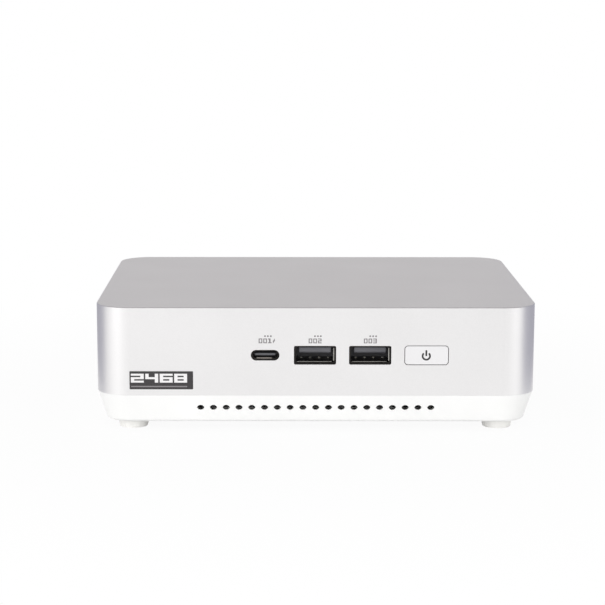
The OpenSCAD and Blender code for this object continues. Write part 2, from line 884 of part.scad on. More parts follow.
// Stands on a block that brings the port up to the height of the others
module front_oval_shell() color("silver") {
    block_y = -inner_y + board_end_gap;
    at_oval_port() oval_shell();
    translate([oval_port_x - (oval_w - oval_h) / 2, block_y, board_top]) cube([oval_w - oval_h,
        front_y + port_inset + oval_depth - block_y, port_z - oval_h / 2 - board_top]);
}

module front_oval_tongue() color("dimgray") at_oval_port() oval_tongue();
module front_left_shell() color("gray") at_left_port() rect_shell(rect_h);
module front_right_shell() color("gray") at_right_port() rect_shell(rect_h);

module front_tongues() color("dimgray") {
    at_left_port() rect_tongue();
    at_right_port() rect_tongue();
}

module front_contacts() color("gold") {
    at_left_port() rect_contacts();
    at_right_port() rect_contacts();
}

// ---- Rear ports, which face the other way ----

module at_rear(x, z) translate([x, rear_port_y, z]) rotate([0, 0, 180]) children();
module video_places() for (x = video_x) at_rear(x, video_z) children();
module rear_oval_places() for (x = rear_oval_x) at_rear(x, rear_oval_z) children();
module stack_places() for (i = [0, 1]) at_rear(stack_x, port_z + i * stack_pitch) children();

module rear_video_shells() color("silver") video_places() difference() {
    through(0, video_depth) video_outline(0);
    through(-1, video_depth) video_outline(-video_wall);
}

module rear_oval_shells() color("silver") rear_oval_places() oval_shell();

module rear_stack_shell() color("silver") at_rear(stack_x, port_z + stack_pitch / 2) difference() {
    through(0, rect_depth) rounded(rect_w, rect_h + stack_pitch, rect_r);
    for (side = [-1, 1]) through(-1, rect_depth) translate([0, side * stack_pitch / 2])
        rounded(rect_w - 2 * rect_wall, rect_h - 2 * rect_wall, rect_inner_r);
}

module rear_tongues() color("dimgray") {
    video_places() {
        through(video_tongue_in, video_depth - video_back) translate([0, video_tongue_up])
            square([video_tongue_w, video_tongue_t], center = true);
        through(video_depth - video_back, video_back - 1)
            square([video_tongue_w, video_h - 2 * video_wall], center = true);
    }
    rear_oval_places() oval_tongue();
    stack_places() rect_tongue();
}

module network_jack() color("silver") at_rear(net_x, board_top) difference() {
    through(0, net_depth) translate([0, net_h / 2]) square([net_w, net_h], center = true);
    through(-1, 1 + net_mouth_depth) translate([0, net_mouth_z]) {
        translate([0, net_mouth_h / 2]) square([net_mouth_w, net_mouth_h], center = true);
        square([net_key_w, net_key_h], center = true);
    }
}

module network_contacts() color("gold") at_rear(net_x, board_top) for (i = [-3.5:3.5])
    through(net_wire_in, net_mouth_depth - net_wire_in)
        translate([i * net_pitch, net_mouth_z + net_mouth_h - net_wire])
            square([net_wire, 2 * net_wire], center = true);

// Square body behind the panel with a round nose through it
module power_jack() color("black") at_rear(dc_x, board_top) difference() {
    nose = rear_port_y - inner_y + panel_t + slide_fit / 2;
    union() {
        through(nose, dc_depth - nose) translate([0, dc_h / 2]) square([dc_w, dc_h], center = true);
        through(0, nose + join) translate([0, dc_h / 2]) circle(dc_nose_r);
    }
    through(-1, dc_depth + 1 - dc_back) translate([0, dc_h / 2]) circle(dc_hole_r);
}

module power_jack_pin() color("gold") at_rear(dc_x, board_top)
    through(dc_pin_in, dc_depth - dc_back - dc_pin_in) translate([0, dc_h / 2]) circle(dc_pin_r);

// ---- Fan ----

// Spiral room round the impeller: four quarter discs, each larger than the last
module volute(r) {
    for (i = [0:3]) rotate([0, 0, 90 * i]) translate([-volute_step / 2, volute_step / 2])
        intersection() {
            circle(r + i * volute_step);
            square(r + 4 * volute_step);
        }
    square(2 * volute_step, center = true);
}

// Spiral room and the mouth that meets the fins
module fan_room(grow) {
    volute(volute_r + grow);
    translate([fin_left - fan_x - grow, 0])
        square([fin_right - fin_left + 2 * grow, fin_front - fan_y]);
}

module at_fan(z) translate([fan_x, fan_y, z]) children();

module fan_frame() color("dimgray") at_fan(fan_z + plate_t) linear_extrude(fan_h - 2 * plate_t) difference() {
    fan_room(fan_wall);
    fan_room(0);
}

module fan_floor() color("silver") at_fan(fan_z) linear_extrude(plate_t) difference() {
    fan_room(fan_wall);
    for (a = [30, 150, 270]) rotate([0, 0, a]) intersection() {
        difference() {
            circle(inlet_r);
            circle(sleeve_r + spider_r);
        }
        polygon([[0, 0], inlet_r * [2, -1.5], inlet_r * [2, 1.5]]);
    }
}

module fan_lid() color("silver") at_fan(fan_z + fan_h - plate_t) linear_extrude(plate_t) difference() {
    fan_room(fan_wall);
    circle(inlet_r);
}

module fan_sleeve() color("goldenrod") at_fan(fan_z + plate_t) difference() {
    cylinder(r = sleeve_r, h = sleeve_h);
    translate([0, 0, sleeve_floor]) cylinder(r = shaft_r + shaft_fit, h = sleeve_h);
}

module fan_stator() color("sienna") at_fan(fan_z + plate_t) linear_extrude(sleeve_h - 1) difference() {
    union() {
        circle(sleeve_r + stator_core);
        for (i = [1:stator_poles]) rotate([0, 0, 360 * i / stator_poles]) {
            translate([0, -pole_w / 2]) square([stator_r - pole_tip / 2, pole_w]);
            intersection() {
                difference() {
                    circle(stator_r);
                    circle(stator_r - pole_tip);
                }
                polygon([[0, 0], stator_r * [2, -0.5], stator_r * [2, 0.5]]);
            }
        }
    }
    circle(sleeve_r);
}

module fan_shaft() color("silver") at_fan(fan_z + plate_t + shaft_foot)
    cylinder(r = shaft_r, h = rotor_gap + rotor_h - hub_wall - shaft_foot);

// Blade: a round arc that leaves the hub on the X axis and meets the rim swept back
module blade() {
    start = [hub_r, 0];
    end = impeller_r * [cos(blade_sweep), -sin(blade_sweep)];
    chord = end - start;
    side = [-chord[1], chord[0]] / norm(chord);
    centre = (start + end) / 2 - side * sqrt(pow(blade_arc_r, 2) - pow(norm(chord) / 2, 2));
    intersection() {
        translate(centre) difference() {
            circle(blade_arc_r + blade_t / 2);
            circle(blade_arc_r - blade_t / 2);
        }
        difference() {
            circle(impeller_r);
            circle(hub_r - hub_wall / 2);
        }
        translate([0, -impeller_r]) square([impeller_r, 2 * impeller_r]);
    }
}

module fan_impeller() color("black") at_fan(rotor_z) {
    difference() {
        cylinder(r = hub_r, h = rotor_h);
        translate([0, 0, -1]) cylinder(r = hub_r - hub_wall, h = rotor_h - hub_wall + 1);
    }
    linear_extrude(rotor_h) for (i = [0:blades - 1]) rotate([0, 0, 360 * i / blades]) blade();
}

// ---- Cooler ----

module fin_stack() color("lightgray") {
    count = floor((fin_right - fin_left - fin_t) / fin_pitch);
    through(fin_front, fin_depth) {
        for (z = [fin_z, fin_z + fin_h - fin_rail])
            translate([fin_left, z]) square([fin_right - fin_left, fin_rail]);
        for (i = [0:count]) translate([fin_left + i * fin_pitch, fin_z]) square([fin_t, fin_h]);
    }
}

// Flat heat pipe: along the cold plate, round a bend and under the fins
module heat_pipe(r) color("peru") {
    translate([bend_x + r, bend_y, pipe_z + pipe_t / 2]) rotate([90, 0, 0])
        linear_extrude(bend_y - pipe_foot_y) oval(pipe_w, pipe_t);
    translate([bend_x, bend_y, pipe_z + pipe_t / 2])
        rotate_extrude(angle = 90) translate([r, 0]) oval(pipe_w, pipe_t);
    translate([bend_x, bend_y + r, pipe_z + pipe_t / 2]) rotate([90, 0, -90])
        linear_extrude(bend_x - fin_left) oval(pipe_w, pipe_t);
}

module heat_pipe_inner() heat_pipe(bend_r);
module heat_pipe_outer() heat_pipe(bend_r + pipe_w + pipe_gap);

module cooler_screw_points() corners_at(cpu_x, cpu_y, cooler_screw_x, cooler_screw_y) children();
module corners_at(cx, cy, x, y) translate([cx, cy, 0]) corners(x, y) children();

module cold_plate() color("peru") translate([0, 0, plate_z]) difference() {
    union() {
        linear_extrude(pipe_z - plate_z) translate([cpu_x, cpu_y])
            square([plate_w, plate_d], center = true);
        linear_extrude(ear_t) cooler_screw_points() {
            circle(ear_r);
            square([2 * ear_r, 2 * (cooler_screw_y - plate_d / 2)], center = true);
        }
    }
    cooler_screw_points() translate([0, 0, -1]) cylinder(r = screw_r + screw_gap, h = ear_t + 2);
}

// Shoulder screws that press the cold plate down
module cooler_screws() color("silver") cooler_screw_points() {
    translate([0, 0, board_bottom])
        cylinder(r = screw_r - shaft_fit, h = plate_z + ear_t - board_bottom + join);
    translate([0, 0, plate_z + ear_t]) cylinder(r = screw_head_r, h = screw_head_h);
}

module processor_package() color("seagreen") translate([cpu_x, cpu_y, board_top])
    linear_extrude(package_t) square([package_w, package_d], center = true);

module processor_die() color("slategray") translate([cpu_x, cpu_y, board_top + package_t])
    linear_extrude(die_h) for (d = dies) translate([d[0], d[1]]) square([d[2], d[3]], center = true);

module board_coils() color("dimgray") for (i = [0:coils - 1])
    translate([coil_x, coil_y + coil_pitch * i, board_top])
        linear_extrude(coil_h) rounded(coil_w, coil_w, coil_r);

module board_capacitors() color("gray") for (i = [0:capacitors - 1])
    translate([capacitor_x, capacitor_y + capacitor_pitch * i, board_top])
        cylinder(d = capacitor_dia, h = capacitor_h);

module coin_cell() color("silver") translate([cell_x, cell_y, board_top])
    cylinder(d = cell_dia, h = cell_h);

// ---- Memory and cards, hanging under the board ----

// Slotted bar with a spring arm at each end of the module
module memory_socket(i) {
    z = memory_z[i] - socket_floor;
    translate([memory_x - socket_w / 2, memory_edge[i], z]) difference() {
        cube([socket_w, socket_d, board_bottom - z]);
        translate([(socket_w - module_w) / 2 - slide_fit, -1, socket_floor - module_t / 2 - shaft_fit])
            cube([module_w + 2 * slide_fit, socket_slot_d + 1, module_t + 2 * shaft_fit]);
    }
    for (side = [0, 1]) translate([memory_x, memory_edge[i] - arm_l, z + arm_up]) mirror([side, 0, 0])
        translate([module_w / 2 + slide_fit, 0, 0]) cube([arm_t, arm_l + join, arm_h]);
}

module memory_sockets() color("black") for (i = [0, 1]) memory_socket(i);

module memory_module(i) {
    translate([memory_x, memory_edge[i] + module_grip - module_d, memory_z[i] - module_t / 2]) {
        translate([-module_w / 2, 0, 0]) difference() {
            cube([module_w, module_d, module_t]);
            translate([module_notch_x, module_d - module_notch_d, -1])
                cube([module_notch_w, module_notch_d + 1, module_t + 2]);
        }
        for (k = [-1.5:1.5]) translate([chip_pitch * k - chip_w / 2, chip_in, -chip_t])
            cube([chip_w, chip_d, chip_t]);
    }
}

module memory_module_upper() color("green") memory_module(0);
module memory_module_lower() color("green") memory_module(1);

// Socket for a card whose edge points along +X at the origin
module card_socket() translate([-card_socket_in, -card_w / 2, board_bottom - card_socket_h]) difference() {
    cube([card_socket_d, card_w, card_socket_h]);
    translate([-1, -1, card_z - board_bottom + card_socket_h - shaft_fit])
        cube([card_socket_d, card_w + 2, card_t + 2 * shaft_fit]);
}

// Card with a screw notch at its far end; each chip is [x, length]
module card(l, chips) {
    translate([card_grip - l, -card_w / 2, card_z]) difference() {
        cube([l, card_w, card_t]);
        translate([0, card_w / 2, -1]) cylinder(r = card_hole_r, h = card_t + 2);
    }
    for (c = chips) translate([c[0], card_margin - card_w / 2, card_z - chip_t])
        cube([c[1], card_w - 2 * card_margin, chip_t]);
}

module at_drive() translate([drive_x, drive_y, 0]) children();
module at_spare() translate([spare_x, spare_y, 0]) rotate([0, 0, 90]) children();
module at_radio() translate([radio_x, radio_y, 0]) rotate([0, 0, 90]) children();

module card_sockets() color("black") {
    at_drive() card_socket();
    at_spare() card_socket();
    at_radio() card_socket();
}

module ssd_card() color("darkgreen") at_drive() card(drive_l, drive_chips);
module radio_card() color("darkgreen") at_radio() card(radio_l, radio_chips);

// Screw through the notch into a spacer under the board
module card_screw() {
    translate([0, 0, card_z + card_t]) cylinder(r = screw_head_r, h = card_drop);
    translate([0, 0, card_z]) cylinder(r = card_screw_r, h = card_t);
    translate([0, 0, card_z - card_screw_head_h]) cylinder(r = screw_head_r, h = card_screw_head_h);
}

module card_screws() color("silver") {
    at_drive() translate([card_grip - drive_l, 0, 0]) card_screw();
    at_radio() translate([card_grip - radio_l, 0, 0]) card_screw();
}

module aerials() color("peru") for (side = [-1, 1])
    translate([side * aerial_x - aerial_t / 2, aerial_y, ledge_top])
        cube([aerial_t, aerial_w, aerial_h]);

// Point at share t of the way from b to c on the smooth curve through a, b, c and d
function blend(a, b, c, d, t) = 0.5 * (2 * b + (c - a) * t
    + (2 * a - 5 * b + 4 * c - d) * t * t + (3 * b - a - 3 * c + d) * t * t * t);

function smooth(route, steps) = let (last = len(route) - 1) [
    for (i = [0:last - 1], k = [0:steps - 1])
        blend(route[max(i - 1, 0)], route[i], route[i + 1], route[min(i + 2, last)], k / steps),
    route[last]];

// Round tube along a route that never runs straight up
module cable(route) {
    path = smooth(route, 4);
    last = len(path) - 1;
    sides = 8;
    rings = [for (i = [0:last]) let (
        along = path[min(i + 1, last)] - path[max(i - 1, 0)],
        across = cross(along, [0, 0, 1]) / norm(cross(along, [0, 0, 1])),
        up = cross(across, along) / norm(along))
        for (k = [0:sides - 1]) let (turn = 360 * k / sides)
            path[i] + cable_r * (cos(turn) * across + sin(turn) * up)];
    polyhedron(rings, concat(
        [[for (k = [0:sides - 1]) k]],
        [for (i = [0:last - 1], k = [0:sides - 1]) let (n = (k + 1) % sides)
            [i * sides + k, (i + 1) * sides + k, (i + 1) * sides + n, i * sides + n]],
        [[for (k = [sides - 1:-1:0]) last * sides + k]]));
}

function under_board(points) = [for (p = points) [p[0], p[1], board_bottom - p[2]]];
function by_ledge(side) = [[side * cable_turn[0], cable_turn[1], ledge_top + cable_turn[2]]];

// Straight stretch on which a cable is soldered along the face of the aerial on that side
function on_aerial(side) = [for (y = [-3.5, -0.5, 3.5])
    [side * (aerial_x - aerial_t / 2 - cable_r - cable_touch), aerial_y + y, ledge_top + aerial_h / 2]];

// Each cable runs from the radio card's free end, between the cards and the memory, to its aerial
module aerial_cables() color("black") {
    cable(concat(under_board(cable_right), by_ledge(1), on_aerial(1)));
    cable(concat(under_board(cable_left), by_ledge(-1), on_aerial(-1)));
}

top_cover();
base_frame();
base_screws();
rear_panel();
bottom_cover();
bracket_inserts();
ssd_heat_plate();
ssd_thermal_pad();
cover_latch();
foot(-1, -1);  // foot_front_left
foot(1, -1);  // foot_front_right
foot(-1, 1);  // foot_back_left
foot(1, 1);  // foot_back_right
motherboard();
board_screws();
power_button();
switch_plunger();
button_guide();
power_switch();
front_oval_shell();
front_oval_tongue();
front_left_shell();
front_right_shell();
front_tongues();
front_contacts();
rear_video_shells();
rear_oval_shells();
rear_stack_shell();
rear_tongues();
network_jack();
network_contacts();
power_jack();
power_jack_pin();
fan_frame();
fan_floor();
fan_lid();
fan_sleeve();
fan_stator();
fan_shaft();
fan_impeller();
fin_stack();
heat_pipe_inner();
heat_pipe_outer();
cold_plate();
cooler_screws();
processor_package();
processor_die();
board_coils();
board_capacitors();
coin_cell();
memory_sockets();
memory_module_upper();
memory_module_lower();
card_sockets();
ssd_card();
radio_card();
card_screws();
aerials();
aerial_cables();
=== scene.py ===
"""Finishes, printed marks, studio and camera for a slim desktop computer, set round its fixed frame.

Lengths written as plain numbers are millimetres: mm() turns them to metres, which Blender uses here.
The case stands on Z = 0 with its front facing -Y.
"""
import json
import math

import bmesh
import bpy
from mathutils import Matrix, Vector


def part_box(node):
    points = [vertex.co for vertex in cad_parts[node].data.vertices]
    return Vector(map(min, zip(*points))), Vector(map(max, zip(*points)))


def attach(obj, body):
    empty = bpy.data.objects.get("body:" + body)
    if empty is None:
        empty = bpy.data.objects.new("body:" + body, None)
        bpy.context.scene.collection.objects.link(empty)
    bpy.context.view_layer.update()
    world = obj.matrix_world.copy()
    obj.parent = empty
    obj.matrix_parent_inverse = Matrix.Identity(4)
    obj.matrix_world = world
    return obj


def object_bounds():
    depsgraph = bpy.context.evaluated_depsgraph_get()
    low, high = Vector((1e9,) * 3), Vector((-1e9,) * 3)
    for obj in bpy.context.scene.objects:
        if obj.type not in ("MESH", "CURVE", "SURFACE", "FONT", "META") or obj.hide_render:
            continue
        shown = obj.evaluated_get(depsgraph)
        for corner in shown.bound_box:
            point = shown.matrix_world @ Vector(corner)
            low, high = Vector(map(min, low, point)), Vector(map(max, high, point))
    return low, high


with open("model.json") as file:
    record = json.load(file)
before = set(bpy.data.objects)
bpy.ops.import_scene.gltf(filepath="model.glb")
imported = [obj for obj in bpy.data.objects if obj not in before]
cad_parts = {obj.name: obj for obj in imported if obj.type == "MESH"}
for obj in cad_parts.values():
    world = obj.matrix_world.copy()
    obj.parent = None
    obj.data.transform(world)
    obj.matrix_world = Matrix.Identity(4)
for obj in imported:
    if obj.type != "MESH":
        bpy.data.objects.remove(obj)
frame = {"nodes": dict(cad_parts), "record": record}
cad_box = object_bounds()


def mm(*lengths):
    """Millimetres as metres: one number, or a vector of several."""
    scaled = [length * 0.001 for length in lengths]
    return scaled[0] if len(scaled) == 1 else Vector(scaled)


def middle_mm(node):
    """The middle of a node of the frame, in millimetres."""
    low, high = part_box(node)
    return (low + high) / 2 * 1000


# ---- Material tools ----

def linear(code):
    """An sRGB code such as #C8C8C8 as the linear colour that a shader takes."""
    shades = [int(code[i:i + 2], 16) / 255 for i in (1, 3, 5)]
    return [s / 12.92 if s <= 0.04045 else ((s + 0.055) / 1.055) ** 2.4 for s in shades] + [1]


def add(owner, kind, inputs=(), **settings):
    """Adds a node to a material or world and sets its properties. Its inputs get values, or links
    from sockets or from the first outputs of nodes."""
    tree = owner.node_tree
    node = tree.nodes.new("ShaderNode" + kind)
    for name, value in settings.items():
        setattr(node, name, value)
    for name, value in dict(inputs).items():
        if isinstance(value, bpy.types.Node):
            value = value.outputs[0]
        if isinstance(value, bpy.types.NodeSocket):
            tree.links.new(value, node.inputs[name])
        else:
            node.inputs[name].default_value = value
    return node


def blank(name):
    """A new material without nodes."""
    material = bpy.data.materials.new(name)
    material.use_nodes = True
    material.node_tree.nodes.clear()
    return material


def own_place(material):
    """The coordinates of the piece itself, which a pattern is drawn on."""
    return add(material, "TexCoord").outputs["Object"]


def covered(material, inputs):
    """The material, covered by a surface shader with those inputs."""
    shader = add(material, "BsdfPrincipled", inputs)
    add(material, "OutputMaterial", {"Surface": shader})
    return material


# ---- Materials ----

def bead_blasted_aluminium():
    """Clear-anodised aluminium 6063, blasted with fine glass beads: a silky sheen with no mirror
    image, and a fine sparkle. Real beads leave dents of 0.1 mm; they are drawn at 0.45 mm to show."""
    material = blank("bead_blasted_aluminium")
    place = own_place(material)
    dents = add(material, "TexNoise", {"Vector": place, "Scale": 1 / mm(0.45), "Detail": 3.0})
    cloud = add(material, "TexNoise", {"Vector": place, "Scale": 1 / mm(26), "Detail": 1.0})
    both = add(material, "Math", {0: dents, 1: cloud}, operation="ADD")
    shade = add(material, "MapRange", {"Value": both, "From Min": 0.7, "From Max": 1.3})
    colour = add(material, "MixRGB", {
        "Fac": shade, "Color1": linear("#E6E5E5"), "Color2": linear("#EAE9E9")})
    sheen = add(material, "MapRange", {
        "Value": dents, "From Min": 0.3, "From Max": 0.7, "To Min": 0.39, "To Max": 0.45})
    relief = add(material, "Bump", {"Height": dents, "Distance": mm(0.004), "Strength": 1.0})
    return covered(material, {
        "Base Color": colour, "Metallic": 1.0, "Roughness": sheen, "Normal": relief})


def moulded_plastic(name, dark, light, roughness, texture=0.5, depth=0.006):
    """Injection-moulded plastic: the mould's spark-eroded texture, texture mm across, gives a soft
    sheen that breaks up evenly; slow variation in shade stands for flow in the mould."""
    material = blank(name)
    place = own_place(material)
    pits = add(material, "TexNoise", {"Vector": place, "Scale": 1 / mm(texture), "Detail": 2.0})
    flow = add(material, "TexNoise", {"Vector": place, "Scale": 1 / mm(18), "Detail": 1.0})
    shade = add(material, "MapRange", {"Value": flow, "From Min": 0.35, "From Max": 0.65})
    colour = add(material, "MixRGB", {
        "Fac": shade, "Color1": linear(dark), "Color2": linear(light)})
    sheen = add(material, "MapRange", {
        "Value": pits, "From Min": 0.3, "From Max": 0.7,
        "To Min": roughness - 0.04, "To Max": roughness + 0.05})
    relief = add(material, "Bump", {"Height": pits, "Distance": mm(depth), "Strength": 1.0})
    return covered(material, {"Base Color": colour, "Roughness": sheen, "Normal": relief})


def milky_rubber():
    """Milky thermoplastic rubber, as moulded: a dull skin with a faint dusting, 1.4 mm across."""
    material = blank("milky_rubber")
    dust = add(material, "TexNoise", {
        "Vector": own_place(material), "Scale": 1 / mm(1.4), "Detail": 3.0})
    shade = add(material, "MapRange", {"Value": dust, "From Min": 0.3, "From Max": 0.7})
    colour = add(material, "MixRGB", {
        "Fac": shade, "Color1": linear("#FBFAF7"), "Color2": linear("#FEFDFA")})
    relief = add(material, "Bump", {"Height": dust, "Distance": mm(0.01), "Strength": 1.0})
    return covered(material, {"Base Color": colour, "Roughness": 0.6, "Normal": relief})


def plated_sheet(name, dark, light, roughness, lines=0.25, metallic=1.0):
    """Plated steel strip, rolled and folded: fine rolling lines along X streak the shine, and
    handling leaves the plating slightly uneven. A matt plating is only partly metallic."""
    material = blank(name)
    place = own_place(material)
    along = add(material, "Mapping", {"Vector": place, "Scale": (0.06, 1, 1)})
    rolling = add(material, "TexNoise", {"Vector": along, "Scale": 1 / mm(lines), "Detail": 2.0})
    patches = add(material, "TexNoise", {"Vector": place, "Scale": 1 / mm(5), "Detail": 2.0})
    shade = add(material, "MapRange", {"Value": patches, "From Min": 0.3, "From Max": 0.7})
    colour = add(material, "MixRGB", {
        "Fac": shade, "Color1": linear(dark), "Color2": linear(light)})
    sheen = add(material, "MapRange", {
        "Value": rolling, "From Min": 0.3, "From Max": 0.7,
        "To Min": roughness - 0.06, "To Max": roughness + 0.1})
    relief = add(material, "Bump", {"Height": rolling, "Distance": mm(0.003), "Strength": 1.0})
    return covered(material, {
        "Base Color": colour, "Metallic": metallic, "Roughness": sheen, "Normal": relief})


def drawn_metal(name, dark, light, roughness):
    """Turned or drawn metal: fine marks 0.2 mm apart, long in Z, streak the shine, and air has
    stained it in soft patches."""
    material = blank(name)
    place = own_place(material)
    along = add(material, "Mapping", {"Vector": place, "Scale": (1, 1, 0.1)})
    marks = add(material, "TexNoise", {"Vector": along, "Scale": 1 / mm(0.2), "Detail": 2.0})
    stain = add(material, "TexNoise", {"Vector": place, "Scale": 1 / mm(6), "Detail": 3.0})
    shade = add(material, "MapRange", {"Value": stain, "From Min": 0.3, "From Max": 0.7})
    colour = add(material, "MixRGB", {
        "Fac": shade, "Color1": linear(dark), "Color2": linear(light)})
    sheen = add(material, "MapRange", {
        "Value": marks, "From Min": 0.3, "From Max": 0.7,
        "To Min": roughness - 0.05, "To Max": roughness + 0.08})
    return covered(material, {"Base Color": colour, "Metallic": 1.0, "Roughness": sheen})


def solder_masked_board(name, dark, light, pad):
    """Epoxy-glass laminate under glossy solder mask: copper shows through as lighter runs with
    square turns, with tinned vias between them. Real tracks are 0.2 mm apart, too fine to show, so
    whole bundles of them are drawn, 3 to 6 mm apart."""
    material = blank(name)
    place = own_place(material)
    cells = add(material, "TexVoronoi", {
        "Vector": place, "Scale": 1 / mm(3.2), "Randomness": 0.55}, distance="CHEBYCHEV")
    lines = add(material, "TexWave", {
        "Vector": place, "Scale": 1 / mm(5.6), "Distortion": 9.0, "Detail": 0.0,
        "Detail Scale": 0.35}, wave_type="BANDS", bands_direction="DIAGONAL")
    copper = add(material, "Math", {0: cells, 1: lines.outputs["Fac"]}, operation="MULTIPLY")
    runs = add(material, "MapRange", {"Value": copper, "From Min": 0.12, "From Max": 0.2})
    masked = add(material, "MixRGB", {
        "Fac": runs, "Color1": linear(dark), "Color2": linear(light)})
    holes = add(material, "TexVoronoi", {"Vector": place, "Scale": 1 / mm(4.5)})
    vias = add(material, "MapRange", {"Value": holes, "From Min": 0.13, "From Max": 0.11})
    colour = add(material, "MixRGB", {"Fac": vias, "Color1": masked, "Color2": linear(pad)})
    relief = add(material, "Bump", {"Height": copper, "Distance": mm(0.02), "Strength": 1.0})
    return covered(material, {"Base Color": colour, "Roughness": 0.32, "Normal": relief})


def bare_copper():
    """Bare drawn copper: pinkish brown, patchily dulled by air and fingers, with drawing lines
    0.3 mm apart along Y."""
    material = blank("bare_copper")
    place = own_place(material)
    dulling = add(material, "TexNoise", {"Vector": place, "Scale": 1 / mm(7), "Detail": 4.0})
    along = add(material, "Mapping", {"Vector": place, "Scale": (1, 0.08, 1)})
    drawing = add(material, "TexNoise", {"Vector": along, "Scale": 1 / mm(0.3), "Detail": 2.0})
    shade = add(material, "MapRange", {"Value": dulling, "From Min": 0.35, "From Max": 0.7})
    colour = add(material, "MixRGB", {
        "Fac": shade, "Color1": linear("#C98A66"), "Color2": linear("#A9674A")})
    sheen = add(material, "MapRange", {
        "Value": dulling, "From Min": 0.3, "From Max": 0.7, "To Min": 0.24, "To Max": 0.4})
    relief = add(material, "Bump", {"Height": drawing, "Distance": mm(0.003), "Strength": 1.0})
    return covered(material, {
        "Base Color": colour, "Metallic": 1.0, "Roughness": sheen, "Normal": relief})


def ceramic_filled_silicone():
    """Soft silicone pad filled with ceramic powder: chalky blue-grey with darker specks."""
    material = blank("ceramic_filled_silicone")
    specks = add(material, "TexNoise", {
        "Vector": own_place(material), "Scale": 1 / mm(0.4), "Detail": 3.0})
    shade = add(material, "MapRange", {"Value": specks, "From Min": 0.35, "From Max": 0.55})
    colour = add(material, "MixRGB", {
        "Fac": shade, "Color1": linear("#7F93A6"), "Color2": linear("#A9BAC9")})
    relief = add(material, "Bump", {"Height": specks, "Distance": mm(0.04), "Strength": 1.0})
    return covered(material, {"Base Color": colour, "Roughness": 0.8, "Normal": relief})


def screen_print(name, dark, light):
    """Ink pushed through a fine mesh: matt, its film a little uneven at the mesh's 0.1 mm pitch,
    drawn at 0.3 mm."""
    material = blank(name)
    film = add(material, "TexNoise", {
        "Vector": own_place(material), "Scale": 1 / mm(0.3), "Detail": 2.0})
    shade = add(material, "MapRange", {"Value": film, "From Min": 0.3, "From Max": 0.7})
    colour = add(material, "MixRGB", {
        "Fac": shade, "Color1": linear(dark), "Color2": linear(light)})
    relief = add(material, "Bump", {"Height": film, "Distance": mm(0.004), "Strength": 1.0})
    return covered(material, {"Base Color": colour, "Roughness": 0.6, "Normal": relief})


def laminated_polyester():
    """Matt-laminated polyester label, printed dark grey: smooth, with the faint wave of its glue."""
    material = blank("laminated_polyester")
    place = own_place(material)
    tooth = add(material, "TexNoise", {"Vector": place, "Scale": 1 / mm(0.35), "Detail": 2.0})
    wave = add(material, "TexNoise", {"Vector": place, "Scale": 1 / mm(4), "Detail": 1.0})
    shade = add(material, "MapRange", {"Value": tooth, "From Min": 0.3, "From Max": 0.7})
    colour = add(material, "MixRGB", {
        "Fac": shade, "Color1": linear("#2E2B2D"), "Color2": linear("#373436")})
    relief = add(material, "Bump", {"Height": wave, "Distance": mm(0.012), "Strength": 1.0})
    return covered(material, {"Base Color": colour, "Roughness": 0.38, "Normal": relief})


FINISHES = {
    "shell_aluminium": bead_blasted_aluminium(),
    "base_plastic": moulded_plastic("white_abs", "#F7F7F6", "#FAFAF9", 0.4),
    "latch_plastic": moulded_plastic("grey_abs", "#9EA0A4", "#A8AAAE", 0.42),
    "button_plastic": moulded_plastic("satin_white_abs", "#E4E3E4", "#E8E7E8", 0.32, 0.4, 0.003),
    "dark_plastic": moulded_plastic("charcoal_abs", "#2C2C30", "#36363A", 0.42),
    "socket_plastic": moulded_plastic("black_nylon", "#0E0E0F", "#161617", 0.38, 0.3),
    "foot_rubber": milky_rubber(),
    "port_steel": plated_sheet("black_nickel_plated_steel", "#2E2B2A", "#3C3937", 0.3),
    "shell_steel": plated_sheet("nickel_plated_steel", "#A3A3A4", "#B5B5B6", 0.28),
    "screw_steel": plated_sheet("zinc_plated_steel", "#B4B5B8", "#C6C7CA", 0.32, 0.35),
    "contact_gold": drawn_metal("flash_gold", "#D8B25C", "#E8C878", 0.22),
    "insert_brass": drawn_metal("turned_brass", "#B8924A", "#CBA860", 0.28),
    "board_laminate": solder_masked_board("blue_black_board", "#0B1A22", "#123040", "#B9B7AE"),
    "card_laminate": solder_masked_board("green_board", "#0D3A1C", "#1B5A30", "#C9B173"),
    "chip_black": moulded_plastic("black_epoxy", "#19191B", "#232326", 0.5, 0.25, 0.008),
    "capacitor_metal": drawn_metal("drawn_can", "#B9B9B8", "#C9C9C9", 0.25),
    "copper": bare_copper(),
    "fin_aluminium": plated_sheet("rolled_aluminium", "#C4C4C5", "#D4D4D6", 0.34),
    "fan_plastic": moulded_plastic("glass_filled_nylon", "#0C0C0D", "#151517", 0.42, 0.6, 0.012),
    "thermal_pad": ceramic_filled_silicone(),
    "cable_jacket": moulded_plastic("smooth_jacket", "#101011", "#18181A", 0.3, 0.8, 0.002),
}
TONGUE_NYLON = moulded_plastic("grey_nylon", "#56565B", "#646469", 0.4, 0.3)
SLEEVE_TIN = plated_sheet("matt_tin_plate", "#B4B2AC", "#C6C4BE", 0.5, metallic=0.3)
# Lighter nickel for the lower half of the oval port's edge and the floor inside it: a painted
# highlight of the lit half.
PAINTED_HIGHLIGHT_NICKEL = plated_sheet("painted_highlight_nickel", "#B0A8A0", "#C2BAB4", 0.5, metallic=0.3)
GREY_INK = screen_print("grey_ink", "#7A7678", "#8A8688")
CHARCOAL_INK = screen_print("charcoal_ink", "#2A282A", "#323032")
PALE_INK = screen_print("pale_ink", "#E4E2E3", "#ECEAEB")
LABEL_FILM = laminated_polyester()


def finish_frame():
    """Gives each node of the frame the finish of its slot, and the front tongues a lighter one."""
    for part in frame["record"]["subparts"]:
        slots = frame["nodes"][part["node"]].data.materials
        slots.clear()
        slots.append(FINISHES[part["material_slot"]])
    for node in ("front_tongues", "front_oval_tongue"):
        frame["nodes"][node].data.materials[0] = TONGUE_NYLON


# ---- Mesh tools ----
# A piece of the front is drawn flat in the XY plane, thickened along Z, and then stood up, which
# turns its +Z to the front.

